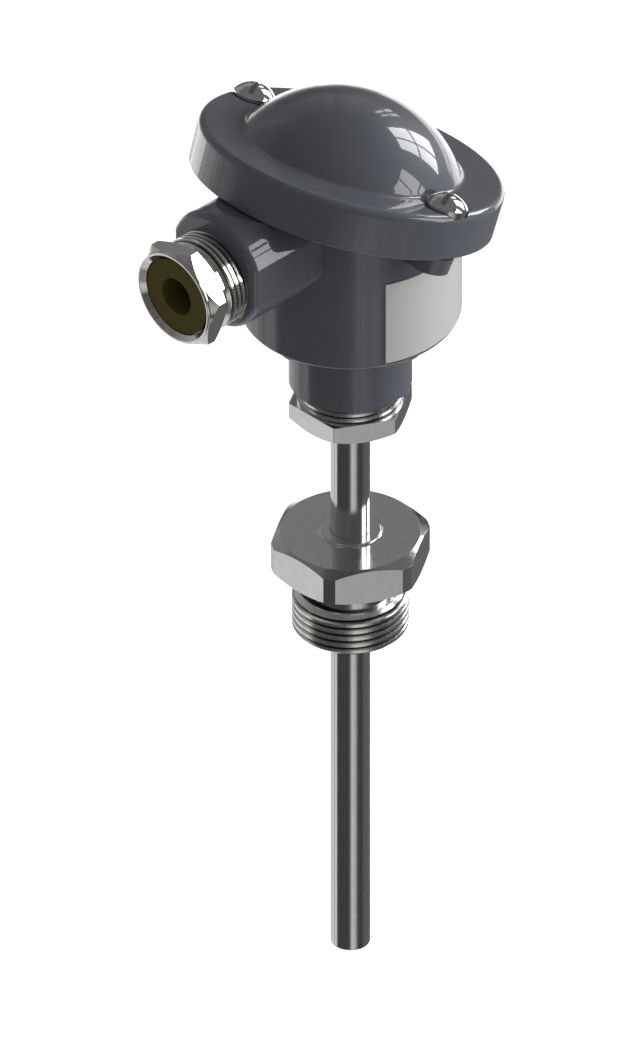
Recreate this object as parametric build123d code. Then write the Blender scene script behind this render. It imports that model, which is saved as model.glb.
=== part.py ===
from build123d import *
import os
from math import cos, radians, sin, sqrt, tan

# Resistance temperature probe with a cast connection head.
# Millimetres. +Z runs up the probe's axis, the cable entry points along -X.
# The origin is on the axis at the middle of the process thread.

# Clearances
weld_gap = 0.05  # welded or screwed pieces that stay together
running_gap = 0.06  # a shank or thread that turns in its hole
sliding_gap = 0.3  # pieces that pass each other
overrun = 1.0  # cutters and joined solids reach this far past a face
edge_break = 0.1  # smallest chamfer

# Protection tube
insertion_length = 98.2  # tip to the upper end of the process thread
tube_r = 4.5
tube_wall = 0.9
tip_wall = 1.6
spigot_step = 0.2  # the protection tube is turned down where it enters the union
tip_round = 0.5

# Process connection, G 3/4 A
process_thread_r = 13.22
process_thread_length = 10.6
process_thread_chamfer = 1.0
process_thread_lead = 1.7  # cone at the thread's upper end
relief_r = 10.6
relief_length = 5.9
union_hex_af = 33.0
union_hex_height = 9.3
union_corner_r = 18.3
union_chamfer_r = 15.9
union_chamfer_angle = 30.0
union_ring_r = 7.1
union_ring_height = 0.5
hex_turn = 30.0  # degrees, one corner of both hexagons from +X
tube_joint_height = 16.6  # from the union's lower end to where the two tubes meet

# Neck
neck_free_length = 32.6
neck_hex_af = 25.0
neck_hex_height = 5.1
neck_corner_r = 14.4
neck_chamfer_r = 12.4
neck_chamfer_angle = 30.0
neck_thread_r = 12.0
neck_thread_chamfer = 0.9
neck_thread_shown = 4.5
neck_thread_engaged = 13.5
neck_thread_runout = 0.5  # hole past the nipple's end

# Connection head, lower part
collar_r = 14.03
collar_height = 19.45
body_wall = 2.8
floor_thickness = 4.2
floor_hole_r = 6.5
body_edge_round = 0.8
base_boss_r = 4.4
base_boss_depth = 4.2
base_boss_floor = 1.0  # left under the spring screws' holes
insert_pitch_r = 16.5  # half of the 33 mm screw spacing

# Cable entry
entry_height = 30.6  # axis above the underside of the body
entry_boss_r = 13.3
entry_boss_flat = 13.0
entry_boss_drop = 2.4
entry_boss_length = 43.8  # from the probe's axis
entry_boss_round = 1.7
entry_belly_height = 1.4  # flat side below the boss's widest line
entry_thread_r = 11.25
entry_thread_depth = 16.0
entry_hole_r = 8.4

# Lid seat, on a plane that slopes down away from the cable entry
lid_tilt = 20.7  # degrees
lid_height = 43.0  # centre of the lid's top face above the underside of the body
lid_r = 35.85
lid_offset = 0.9  # the rim's centre lies this far down the slope from the dome's
lid_draft = 0.25  # the skirt is narrower by this at its lower edge
lid_skirt = 10.9
lid_skirt_wall = 2.3
lid_plate = 3.2
lid_edge_round = 1.8
lid_rib_wall = 1.6
lid_rib_height = 1.5
dome_sphere_r = 27.4
dome_height = 13.9
dome_wall = 2.6
dome_foot_round = 4.2
gasket_thickness = 1.6
gasket_width = 6.0
gasket_inset = 1.05  # from the flange's edge
flange_lip = 0.6  # the skirt hangs this far below the flange

# Lid screws
lid_screw_inset = 5.15  # from the lid's edge, on the Y sides
lid_screw_r = 2.5
lid_screw_length = 13.0  # under the head
lid_screw_chamfer = 0.6
lid_screw_head_r = 4.35
lid_screw_head_height = 4.2
lid_screw_head_edge = 1.7
lid_screw_slot = 1.2
lid_screw_slot_depth = 1.6
lid_screw_slot_turn = 24.0  # degrees in the lid's plane
lid_screw_seat_r = 4.8
lid_screw_seat_depth = 1.0
lid_screw_pocket_r = 6.3
ear_r = 5.1
ear_drop = 4.9
ear_taper = 0.8
ear_web = 7.4
hole_end_gap = 0.5

# Cable gland
gland_thread_length = 18.0
gland_thread_chamfer = 0.8
gland_neck_r = 10.3
gland_stand_out = 5.8  # thread outside the boss
gland_neck_length = 1.6
gland_hex_af = 22.6
gland_hex_height = 4.8
gland_hex_corner_r = 13.05
gland_hex_chamfer_r = 11.25
gland_hex_front_angle = 42.0
gland_hex_back_angle = 33.0
gland_lip_r = 11.4
gland_lip_height = 0.6
gland_lip_round = 0.3
gland_mouth_edge_r = 10.7
gland_mouth_r = 9.65
gland_bore_r = 7.6
gland_mouth_depth = 4.4
gland_hex_turn = 14.3  # degrees, one corner from +Y towards -Z
gland_seal_face = 1.1  # from the lip's end, as deep as the mouth's bevel
gland_seal_bore_r = 4.6
gland_washer_thickness = 1.2

# Label
label_start = 243.5  # degrees about +Z from +X
label_sweep = 92.0
label_low = 0.5  # above the underside of the body
label_height = 21.6
label_thickness = 0.25

# Measuring insert
sheath_r = 3.0
sheath_wall = 0.5
element_r = 1.5
element_length = 25.0
element_end_gap = 2.0
lead_r = 0.3
wire_sides = 6  # flats on the thin wires of the leads and springs
lead_ring_r = 1.3
lead_bend_r = 1.1
lead_free = 2.2  # straight run above the sheath
lead_lean_r = 3.72  # where the leads reach the height of the clamps
lead_grip = 1.4  # length inside the terminal
flange_plate_edge = 4.1  # from the screw holes' centres to the plate's edge
flange_plate_room = 1.6  # between the plate and the head's wall
flange_plate_thickness = 1.6
ferrule_r = 5.3
ferrule_height = 3.0
sheath_stand_out = 1.0  # above the ferrule

# Terminal block
block_inset = 2.6  # from the plate's edge
block_height = 9.0
block_wall_height = 6.0
block_wall_thickness = 2.2
block_well_r = 6.0
block_edge = 0.8
block_notch_r = 5.4
terminal_inset = 5.8  # from the block's edge to the terminals' centres
terminal_size = 6.4
terminal_length = 8.6
terminal_height = 5.6
terminal_hole_r = 1.3
terminal_hole_height = 2.0
terminal_edge = 0.5
terminal_turns = (48.0, 132.0, 228.0, 312.0)
terminal_screw_r = 1.75
terminal_screw_head_r = 2.9
terminal_screw_head_height = 2.2
screw_slot = 0.8
screw_slot_depth = 0.9
screw_head_edge = 0.6
screw_tip_chamfer = 0.35

# Spring screws of the insert
spring_screw_r = 2.0
spring_screw_head_r = 3.7
spring_screw_head_height = 2.4
spring_screw_seat = 15.0  # underside of the head above the flange plate
spring_coil_r = 2.95
spring_wire_r = 0.4
spring_turns = 5.0
spring_end_gap = 0.1

# Earth terminal inside the head
earth_screw_r = 2.0
earth_screw_head_r = 3.6
earth_screw_head_height = 2.2
earth_screw_length = 4.6
earth_washer_r = 4.4
earth_washer_thickness = 0.8
earth_pad_r = 4.8
earth_pad_depth = 3.2  # from the head's wall
earth_height = 31.4  # above the floor of the head
earth_turn = 120.0

# Heights worked out from the stack
thread_top = process_thread_length / 2
thread_low = -process_thread_length / 2
hex_low = thread_top + relief_length
hex_top = hex_low + union_hex_height
nipple_low = hex_top + neck_free_length
nipple_hex_top = nipple_low + neck_hex_height
collar_low = nipple_hex_top + neck_thread_shown
nipple_top = collar_low + neck_thread_engaged
body_low = collar_low + collar_height
floor_top = body_low + floor_thickness
entry_z = body_low + entry_height
entry_foot = entry_boss_length - entry_thread_depth
gland_neck_start = entry_boss_length + gland_stand_out
gland_hex_start = gland_neck_start + gland_neck_length
gland_hex_end = gland_hex_start + gland_hex_height
gland_lip_end = gland_hex_end + gland_lip_height
lid_z = body_low + lid_height
tube_low = thread_top - insertion_length
spigot_r = tube_r - spigot_step
tube_joint = thread_low + tube_joint_height
flange_plate_r = insert_pitch_r + flange_plate_edge
block_r = flange_plate_r - block_inset
terminal_ring_r = block_r - terminal_inset
cavity_r = flange_plate_r + flange_plate_room
body_r = cavity_r + body_wall
earth_pad_face_r = cavity_r - earth_pad_depth
plate_low = floor_top + sliding_gap
plate_top = plate_low + flange_plate_thickness
block_top = plate_top + block_height

# The lid's own plane: its z axis is the lid's axis, its y axis is the probe's Y
lid_plane = Plane(
    origin=(0, 0, lid_z),
    x_dir=(cos(radians(lid_tilt)), 0, -sin(radians(lid_tilt))),
    z_dir=(sin(radians(lid_tilt)), 0, cos(radians(lid_tilt))),
)
flange_r = lid_r - lid_skirt_wall - sliding_gap
gasket_outer_r = flange_r - gasket_inset
gasket_inner_r = gasket_outer_r - gasket_width
lid_screw_offset = lid_r - lid_screw_inset
plate_under = -lid_plate
gasket_top = plate_under - sliding_gap
flange_top = gasket_top - gasket_thickness
flange_low = -lid_skirt + flange_lip
rim_place = Pos(lid_offset, 0, 0)

# The earth pad's own plane: its z axis points at the probe's axis
earth_way = (cos(radians(earth_turn)), sin(radians(earth_turn)))
earth_plane = Plane(
    origin=(earth_pad_face_r * earth_way[0], earth_pad_face_r * earth_way[1], floor_top + earth_height),
    x_dir=(earth_way[1], -earth_way[0], 0),
    z_dir=(-earth_way[0], -earth_way[1], 0),
)

# The cable entry's own plane: its z axis points out of the head, along -X
entry_plane = Plane(origin=(0, 0, entry_z), x_dir=(0, 1, 0), z_dir=(-1, 0, 0))


def rod(radius, low, high):
    """Upright round bar from the height low to the height high."""
    return Pos(0, 0, low) * extrude(Circle(radius), high - low)


def ring(outer, inner, low, high):
    """Upright round tube from the height low to the height high."""
    return rod(outer, low, high) - rod(inner, low - overrun, high + overrun)


def chamfered_rod(radius, low, high, low_cut, high_cut):
    """Upright round bar with a 45 degree chamfer at each end."""
    outline = Polyline(
        (0, low),
        (radius - low_cut, low),
        (radius, low + low_cut),
        (radius, high - high_cut),
        (radius - high_cut, high),
        (0, high),
        close=True,
    )
    return revolve(Plane.XZ * make_face(outline), Axis.Z)


def hexagon_bar(across_flats, low, high, corner_r, turn, low_cone=None, high_cone=None):
    """Hexagonal bar with turned corners; a cone is its radius in the end face and its angle."""
    drops = []
    for cone in (low_cone, high_cone):
        drops.append((corner_r - cone[0]) * tan(radians(cone[1])) if cone else 0)
    bar = Rot(0, 0, turn) * extrude(RegularPolygon(across_flats / 2, 6, major_radius=False), high - low)
    corners = [(0, low)]
    if low_cone:
        corners.append((low_cone[0], low))
    corners += [(corner_r, low + drops[0]), (corner_r, high - drops[1])]
    if high_cone:
        corners.append((high_cone[0], high))
    corners.append((0, high))
    turned = revolve(Plane.XZ * make_face(Polyline(*corners, close=True)), Axis.Z)
    return (Pos(0, 0, low) * bar) & turned


# Tubes: a closed one below the union and an open one above it
def protection_tube():
    """Closed tube from the tip to the joint inside the union."""
    outside = rod(tube_r, tube_low, thread_low)
    outside = fillet(outside.edges().group_by(Axis.Z)[0], tip_round)
    outside += rod(spigot_r, thread_low - overrun, tube_joint)
    return outside - rod(tube_r - tube_wall, tube_low + tip_wall, tube_joint + overrun)


def neck_tube():
    """Open tube from the joint inside the union to the top of the neck nipple."""
    return ring(tube_r, tube_r - tube_wall, tube_joint + weld_gap, nipple_top)


# Process connection: hexagon, relief and thread in one turned piece
def process_union():
    """Turned union, welded round the tube."""
    thread = chamfered_rod(
        process_thread_r, thread_low, thread_top, process_thread_chamfer, process_thread_lead
    )
    relief = rod(relief_r, thread_top - overrun, hex_low + overrun)
    cone = (union_chamfer_r, union_chamfer_angle)
    hexagon = hexagon_bar(union_hex_af, hex_low, hex_top, union_corner_r, hex_turn, cone, cone)
    weld = rod(union_ring_r, hex_top - overrun, hex_top + union_ring_height)
    solid = thread + relief + hexagon + weld
    solid -= rod(spigot_r + weld_gap, thread_low - overrun, hex_top)
    return solid - rod(tube_r + weld_gap, tube_joint, hex_top + union_ring_height + overrun)


# Neck nipple: small hexagon and M24 thread
def neck_nipple():
    """Nipple that carries the head on the tube."""
    cone = (neck_chamfer_r, neck_chamfer_angle)
    hexagon = hexagon_bar(neck_hex_af, nipple_low, nipple_hex_top, neck_corner_r, hex_turn, low_cone=cone)
    low = nipple_hex_top - overrun
    thread = chamfered_rod(neck_thread_r, low, nipple_top, edge_break, neck_thread_chamfer)
    return hexagon + thread - rod(tube_r + weld_gap, nipple_low - overrun, nipple_top + overrun)


# Connection head: one casting
def entry_boss_profile(radius, flat, drop):
    """Arched section of the entry boss: round top, flat sides, rounder and deeper belly."""
    crease = sqrt(radius**2 - flat**2)
    belly_edge = -drop - crease - entry_belly_height
    top = ThreePointArc((flat, crease), (0, radius), (-flat, crease))
    left = Line((-flat, crease), (-flat, belly_edge))
    belly = ThreePointArc((-flat, belly_edge), (0, -radius - drop), (flat, belly_edge))
    right = Line((flat, belly_edge), (flat, crease))
    return make_face(top + left + belly + right)


def earth_pad():
    """Cast pad inside the head that carries the earth screw."""
    return earth_plane * rod(earth_pad_r, earth_pad_face_r - body_r + body_wall / 2, 0)


def screw_ear(side):
    """Tapered ear for one lid screw, with a web to the barrel."""
    ear = Pos(0, 0, flange_low - ear_drop) * Cone(
        ear_r - ear_taper, ear_r, ear_drop + overrun, align=(Align.CENTER, Align.CENTER, Align.MIN)
    )
    reach = lid_screw_offset - cavity_r
    web = Pos(0, -reach / 2, flange_low - ear_drop / 2 + overrun / 2) * Box(ear_web, reach, ear_drop + overrun)
    turn = 0 if side > 0 else 180
    return lid_plane * Rot(0, 0, turn) * Pos(0, lid_screw_offset, 0) * (ear + web)


def head_body():
    """Cast housing with its collar, cable entry, lid flange and screw ears."""
    tall = lid_z + lid_r
    barrel = rod(body_r, body_low, tall)
    barrel = fillet(barrel.edges().group_by(Axis.Z)[0], body_edge_round)
    above = lid_plane * Pos(0, 0, flange_top) * extrude(Rectangle(4 * lid_r, 4 * lid_r), 2 * lid_r)
    barrel -= above
    section = entry_boss_profile(entry_boss_r, entry_boss_flat, entry_boss_drop)
    boss = extrude(section, entry_boss_length)
    boss = fillet(boss.edges().group_by(Axis.Z)[-1], entry_boss_round)
    solid = barrel + entry_plane * boss + lid_plane * rim_place * rod(flange_r, flange_low, flange_top)
    solid += rod(collar_r, collar_low, body_low + overrun)
    for turn in range(0, 360, 90):
        foot = rod(base_boss_r, body_low - base_boss_depth, body_low + overrun)
        foot = fillet(foot.edges().group_by(Axis.Z)[0], body_edge_round)
        solid += Rot(0, 0, turn) * Pos(insert_pitch_r, 0, 0) * foot
    for side in (-1, 1):
        solid += screw_ear(side)
    skirt_space = ring(2 * lid_r, flange_r, -lid_skirt - sliding_gap, 2 * lid_skirt)
    solid -= lid_plane * rim_place * skirt_space
    solid -= rod(cavity_r, floor_top, tall)
    solid += earth_pad()
    solid -= rod(neck_thread_r + weld_gap, collar_low - overrun, nipple_top + neck_thread_runout)
    solid -= rod(floor_hole_r, collar_low, floor_top + overrun)
    solid -= entry_plane * rod(entry_thread_r + running_gap, entry_foot, entry_boss_length + overrun)
    solid -= entry_plane * rod(entry_hole_r, cavity_r / 2, entry_boss_length)
    for side in (-1, 1):
        depth = lid_screw_seat_depth + lid_screw_length + hole_end_gap
        solid -= lid_plane * Pos(0, side * lid_screw_offset, 0) * rod(lid_screw_r + running_gap, -depth, 0)
        low = body_low - base_boss_depth + base_boss_floor
        solid -= Pos(0, side * insert_pitch_r, 0) * rod(spring_screw_r + weld_gap, low, floor_top + overrun)
    return solid - earth_plane * rod(earth_screw_r + weld_gap, -earth_screw_length, overrun)


def screw(shank_r, length, head_r, head_height):
    """Slotted screw with its head's underside at the height 0."""
    head = chamfered_rod(head_r, 0, head_height, edge_break, screw_head_edge)
    shank = chamfered_rod(shank_r, -length, edge_break, screw_tip_chamfer, edge_break / 2)
    slot = Pos(0, 0, head_height) * Box(4 * head_r, screw_slot, 2 * screw_slot_depth)
    return head + shank - slot


# Earth terminal: washer and screw on the cast pad
def earth_washer():
    """Flat washer under the earth screw's head."""
    return earth_plane * ring(earth_washer_r, earth_screw_r + weld_gap, 0, earth_washer_thickness)


def earth_screw():
    """Screw in the cast pad."""
    length = earth_screw_length + earth_washer_thickness - hole_end_gap / 2
    solid = screw(earth_screw_r, length, earth_screw_head_r, earth_screw_head_height)
    return earth_plane * Pos(0, 0, earth_washer_thickness) * solid


# Lid: cast cap with a spherical dome
def head_lid():
    """Tilted round lid: skirt, plate, dome and two screw seats."""
    plate = Cone(lid_r - lid_draft, lid_r, lid_skirt, align=(Align.CENTER, Align.CENTER, Align.MAX))
    plate = rim_place * fillet(plate.edges().group_by(Axis.Z)[-1], lid_edge_round)
    centre = dome_height - dome_sphere_r
    ball = Pos(0, 0, centre) * Sphere(dome_sphere_r)
    solid = plate + (ball & rod(lid_r, -overrun, 2 * dome_height))
    foot_r = sqrt(dome_sphere_r**2 - centre**2)
    foot = [edge for edge in solid.edges().filter_by(GeomType.CIRCLE) if abs(edge.radius - foot_r) < 0.01]
    solid = fillet(foot, dome_foot_round)
    for side in (-1, 1):
        place = Pos(0, side * lid_screw_offset, 0)
        solid -= place * rod(lid_screw_pocket_r, 0, dome_height)
        solid -= place * rod(lid_screw_seat_r, -lid_screw_seat_depth, overrun)
        solid -= place * rod(lid_screw_r + running_gap, -lid_skirt, overrun)
    solid -= rim_place * rod(lid_r - lid_skirt_wall, -lid_skirt - overrun, plate_under)
    inner = Pos(0, 0, centre) * Sphere(dome_sphere_r - dome_wall)
    solid -= inner & rod(lid_r, plate_under - overrun, dome_height)
    rib_r = gasket_inner_r - sliding_gap
    solid += rim_place * ring(rib_r, rib_r - lid_rib_wall, plate_under - lid_rib_height, plate_under)
    return lid_plane * solid


def cover_gasket():
    """Flat ring between the head's flange and the lid."""
    gasket = rim_place * ring(gasket_outer_r, gasket_inner_r, flange_top, gasket_top)
    for side in (-1, 1):
        notch = rod(lid_screw_r + 2 * sliding_gap, flange_top - overrun, 0)
        gasket -= Pos(0, side * lid_screw_offset, 0) * notch
    return lid_plane * gasket


def lid_screw(side):
    """Domed and slotted lid screw."""
    rise = lid_screw_head_height - lid_screw_head_edge
    crown_r = (lid_screw_head_r**2 + rise**2) / (2 * rise)
    head = rod(lid_screw_head_r, 0, lid_screw_head_height)
    head &= Pos(0, 0, lid_screw_head_height - crown_r) * Sphere(crown_r)
    shank = chamfered_rod(lid_screw_r, -lid_screw_length, edge_break, lid_screw_chamfer, edge_break / 2)
    slot = Box(4 * lid_screw_head_r, lid_screw_slot, 2 * lid_screw_slot_depth)
    slot = Pos(0, 0, lid_screw_head_height) * slot
    solid = head + shank - Rot(0, 0, lid_screw_slot_turn) * slot
    seat = Pos(0, side * lid_screw_offset, -lid_screw_seat_depth)
    return lid_plane * seat * solid


# Cable gland: pressure screw, washer and seal
def gland_screw():
    """Hollow pressure screw: thread, neck, hexagon and flared lip."""
    inner_end = gland_neck_start - gland_thread_length
    thread = chamfered_rod(
        entry_thread_r, inner_end, gland_neck_start, gland_thread_chamfer, entry_thread_r - gland_neck_r
    )
    neck = rod(gland_neck_r, gland_neck_start - overrun, gland_hex_start + overrun)
    back = (gland_hex_chamfer_r, gland_hex_back_angle)
    front = (gland_hex_chamfer_r, gland_hex_front_angle)
    hexagon = hexagon_bar(
        gland_hex_af, gland_hex_start, gland_hex_end, gland_hex_corner_r, gland_hex_turn, back, front
    )
    lip = rod(gland_lip_r, gland_hex_end - gland_seal_face, gland_lip_end)
    lip = fillet(lip.edges().group_by(Axis.Z)[-1], gland_lip_round)
    solid = thread + neck + hexagon + lip
    solid -= rod(gland_bore_r, inner_end - overrun, gland_lip_end)
    solid -= rod(gland_mouth_r, gland_lip_end - gland_mouth_depth, gland_lip_end + overrun)
    bevel = Cone(
        gland_mouth_r, gland_mouth_edge_r, gland_seal_face, align=(Align.CENTER, Align.CENTER, Align.MIN)
    )
    solid -= Pos(0, 0, gland_lip_end - gland_seal_face) * bevel
    return entry_plane * solid


def gland_seal():
    """Rubber sleeve that lines the screw round the cable's hole."""
    face = gland_lip_end - gland_seal_face
    step = gland_lip_end - gland_mouth_depth + sliding_gap
    seat = entry_foot + gland_washer_thickness
    wide = rod(gland_mouth_r - sliding_gap, step, face)
    narrow = rod(gland_bore_r - sliding_gap, seat, face - overrun)
    return entry_plane * (wide + narrow - rod(gland_seal_bore_r, 0, gland_lip_end + overrun))


def gland_washer():
    """Thrust washer at the foot of the entry thread."""
    inner = gland_seal_bore_r + sliding_gap
    outer = entry_thread_r - sliding_gap
    return entry_plane * ring(outer, inner, entry_foot, entry_foot + gland_washer_thickness)


# Label: thin bare plate bent round the body
def type_label():
    """Curved label, glued to the body."""
    low = body_low + label_low + body_edge_round
    inner = body_r + weld_gap
    sheet = ring(inner + label_thickness, inner, low, low + label_height)
    reach = 4 * body_r
    corners = [(0, 0)]
    for share in (0, 0.5, 1):
        turn = radians(label_start + share * label_sweep)
        corners.append((reach * cos(turn), reach * sin(turn)))
    wedge = make_face(Polyline(*corners, close=True))
    return sheet & (Pos(0, 0, low - overrun) * extrude(wedge, label_height + 2 * overrun))


# Measuring insert: sheath, powder, element and leads

sheath_low = tube_low + tip_wall + sliding_gap
sheath_top = plate_top + ferrule_height + sheath_stand_out
core_low = sheath_low + sheath_wall
element_low = core_low + element_end_gap
element_top = element_low + element_length


def insert_sheath():
    """Thin metal sheath with a closed tip."""
    outside = rod(sheath_r, sheath_low, sheath_top)
    outside = fillet(outside.edges().group_by(Axis.Z)[0], tip_round)
    return outside - rod(sheath_r - sheath_wall, core_low, sheath_top + overrun)


def sheath_powder():
    """Pressed mineral powder round the element and the leads."""
    powder = rod(sheath_r - sheath_wall - weld_gap, core_low + weld_gap, sheath_top)
    powder -= rod(element_r + weld_gap, element_low - weld_gap, element_top + weld_gap)
    lead_hole = Pos(lead_ring_r, 0, 0) * rod(lead_r + weld_gap, element_top, sheath_top + overrun)
    for turn in terminal_turns:
        powder -= Rot(0, 0, turn) * lead_hole
    return powder


def sensing_element():
    """Ceramic rod that holds the platinum winding."""
    return rod(element_r, element_low, element_top)


def insert_lead(turn):
    """One lead: up the sheath, out over the block and into its terminal."""
    crest = block_top + terminal_hole_height
    path = FilletPolyline(
        (lead_ring_r, 0, element_top + 2 * weld_gap),
        (lead_ring_r, 0, sheath_top + lead_free),
        (lead_lean_r, 0, crest),
        (terminal_ring_r - terminal_length / 2 + lead_grip, 0, crest),
        radius=lead_bend_r,
    )
    section = Plane(origin=path @ 0, z_dir=path % 0) * RegularPolygon(lead_r, wire_sides)
    return Rot(0, 0, turn) * sweep(section, path=path)


def insert_flange():
    """Round plate with the sheath's ferrule."""
    solid = rod(flange_plate_r, plate_low, plate_top) + rod(ferrule_r, plate_low, plate_top + ferrule_height)
    solid -= rod(sheath_r + weld_gap, floor_top - overrun, sheath_top + overrun)
    for turn in range(0, 360, 90):
        hole = rod(spring_screw_r + sliding_gap, floor_top - overrun, plate_top + overrun)
        solid -= Rot(0, 0, turn) * Pos(insert_pitch_r, 0, 0) * hole
    return solid


# Terminal block: glazed ceramic with four brass terminals
def terminal_block():
    """Ceramic block with a well, two screw notches and two partitions."""
    disc = rod(block_r, plate_top, block_top)
    wall = Pos(0, 0, (block_top + block_wall_height + plate_top) / 2) * Box(
        2 * block_r, block_wall_thickness, block_height + block_wall_height
    )
    disc = chamfer(disc.edges().group_by(Axis.Z)[-1], block_edge)
    solid = disc + (wall & rod(block_r - block_edge, plate_top, block_top + block_wall_height))
    solid -= rod(block_well_r, plate_top - overrun, block_top + block_wall_height + overrun)
    for side in (-1, 1):
        notch = rod(block_notch_r, plate_top - overrun, block_top + overrun)
        gap = Pos(0, side * (insert_pitch_r + block_notch_r), block_top) * Box(
            2 * block_notch_r, 2 * block_notch_r, 4 * block_height
        )
        solid -= Pos(0, side * insert_pitch_r, 0) * notch
        solid -= gap
    for turn in terminal_turns:
        hole = rod(terminal_screw_r + sliding_gap, block_top - terminal_screw_r, block_top + overrun)
        solid -= terminal_place(turn) * Pos(0, 0, -block_top) * hole
    return solid


def terminal_place(turn):
    """Place of one terminal, its x axis pointing out from the centre."""
    return Rot(0, 0, turn) * Pos(terminal_ring_r, 0, block_top)


def terminal(turn):
    """Brass clamp with a cross hole for the wires and a tapped hole on top."""
    bar = Box(terminal_length, terminal_size, terminal_height, align=(Align.CENTER, Align.CENTER, Align.MIN))
    bar = chamfer(bar.edges().group_by(Axis.Z)[-1], terminal_edge)
    bar -= Pos(0, 0, terminal_hole_height) * Rot(0, 90, 0) * Cylinder(terminal_hole_r, 2 * terminal_length)
    bar -= rod(terminal_screw_r + weld_gap, terminal_hole_height, terminal_height + overrun)
    return terminal_place(turn) * bar


def terminal_screws():
    """The four clamping screws."""
    length = terminal_height - terminal_hole_height - lead_r - 2 * weld_gap
    solid = screw(terminal_screw_r, length, terminal_screw_head_r, terminal_screw_head_height)
    seated = Pos(0, 0, terminal_height) * solid
    return [terminal_place(turn) * Rot(0, 0, turn) * seated for turn in terminal_turns]


# Spring screws: they press the insert's plate down
def spring_screw(side):
    """Screw that holds one spring, fixed in the floor of the head."""
    shank_low = body_low - base_boss_depth + base_boss_floor + hole_end_gap
    seat = plate_top + spring_screw_seat
    solid = screw(spring_screw_r, seat - shank_low, spring_screw_head_r, spring_screw_head_height)
    return Pos(0, side * insert_pitch_r, seat) * solid


def insert_spring(side):
    """Coil spring between the insert's plate and its screw's head."""
    low = plate_top + spring_wire_r + sliding_gap
    high = plate_top + spring_screw_seat - spring_wire_r - spring_end_gap
    height = high - low
    path = Helix(height / spring_turns, height, spring_coil_r)
    section = Plane(origin=path @ 0, z_dir=path % 0) * RegularPolygon(spring_wire_r, wire_sides)
    return Pos(0, side * insert_pitch_r, low) * sweep(section, path=path, is_frenet=True)


os.makedirs("parts", exist_ok=True)

parts = {
    "protection_tube": protection_tube(),
    "neck_tube": neck_tube(),
    "process_union": process_union(),
    "neck_nipple": neck_nipple(),
    "head_body": head_body(),
    "head_lid": head_lid(),
    "cover_gasket": cover_gasket(),
    "lid_screw_front": lid_screw(-1),
    "lid_screw_rear": lid_screw(1),
    "gland_screw": gland_screw(),
    "gland_seal": gland_seal(),
    "gland_washer": gland_washer(),
    "type_label": type_label(),
    "earth_washer": earth_washer(),
    "earth_screw": earth_screw(),
    "insert_sheath": insert_sheath(),
    "sheath_powder": sheath_powder(),
    "sensing_element": sensing_element(),
    "insert_flange": insert_flange(),
    "terminal_block": terminal_block(),
    "terminal_screws": Compound(children=terminal_screws()),
    "spring_screw_front": spring_screw(-1),
    "spring_screw_rear": spring_screw(1),
    "insert_spring_front": insert_spring(-1),
    "insert_spring_rear": insert_spring(1),
}
for number, turn in enumerate(terminal_turns, 1):
    parts[f"terminal_{number}"] = terminal(turn)
    parts[f"lead_{number}"] = insert_lead(turn)

for name, solid in parts.items():
    export_step(solid, f"parts/{name}.step")
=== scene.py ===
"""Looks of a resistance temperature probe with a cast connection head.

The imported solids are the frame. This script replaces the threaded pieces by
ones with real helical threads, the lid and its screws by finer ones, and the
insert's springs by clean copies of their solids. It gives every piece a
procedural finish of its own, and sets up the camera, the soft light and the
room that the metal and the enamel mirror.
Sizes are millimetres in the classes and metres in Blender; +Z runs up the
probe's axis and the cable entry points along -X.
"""

import logging
import math
from dataclasses import dataclass
from enum import Enum
from itertools import product
from typing import Protocol

import bmesh
import bpy
from mathutils import Matrix, Vector


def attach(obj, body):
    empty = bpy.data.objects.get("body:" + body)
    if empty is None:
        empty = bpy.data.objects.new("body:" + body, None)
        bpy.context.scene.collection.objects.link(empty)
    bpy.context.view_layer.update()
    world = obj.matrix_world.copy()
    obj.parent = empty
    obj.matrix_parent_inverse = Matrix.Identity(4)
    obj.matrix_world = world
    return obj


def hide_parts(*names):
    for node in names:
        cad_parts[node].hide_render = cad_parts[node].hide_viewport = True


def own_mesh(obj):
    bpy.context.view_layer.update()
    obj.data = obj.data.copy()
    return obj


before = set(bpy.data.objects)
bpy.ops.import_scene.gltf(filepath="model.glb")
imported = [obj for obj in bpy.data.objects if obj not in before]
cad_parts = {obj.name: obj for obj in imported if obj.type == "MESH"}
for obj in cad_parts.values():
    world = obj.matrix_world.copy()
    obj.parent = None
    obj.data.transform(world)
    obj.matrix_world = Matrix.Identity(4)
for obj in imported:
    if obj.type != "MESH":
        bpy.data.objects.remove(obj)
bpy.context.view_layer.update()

MM = 0.001
CREST_MARK = "crest"
WHITE = (1, 1, 1, 1)
# Points closer than this many metres are joined, and edges bent by more than
# this many degrees are sharp.
WELD_DISTANCE = 0.000002
SHARP_ANGLE = 18.0
log = logging.getLogger("probe")

MATH = "ShaderNodeMath"
VECTOR_MATH = "ShaderNodeVectorMath"

Node = bpy.types.Node
Socket = bpy.types.NodeSocket
Feed = Node | Socket
Point = tuple[float, float]
Spot = tuple[float, float, float]
Shape = tuple[list[Spot], list[tuple[int, ...]]]


def srgb(code: str) -> tuple[float, ...]:
    """Turn a colour as the eye reads it into linear light.

    Args:
        code: six hex digits after a hash.

    Returns:
        Linear red, green, blue and an alpha of one.
    """
    parts = [int(code[i : i + 2], 16) / 255 for i in (1, 3, 5)]
    linear = [c / 12.92 if c <= 0.04045 else ((c + 0.055) / 1.055) ** 2.4 for c in parts]
    return (*linear, 1.0)


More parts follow.
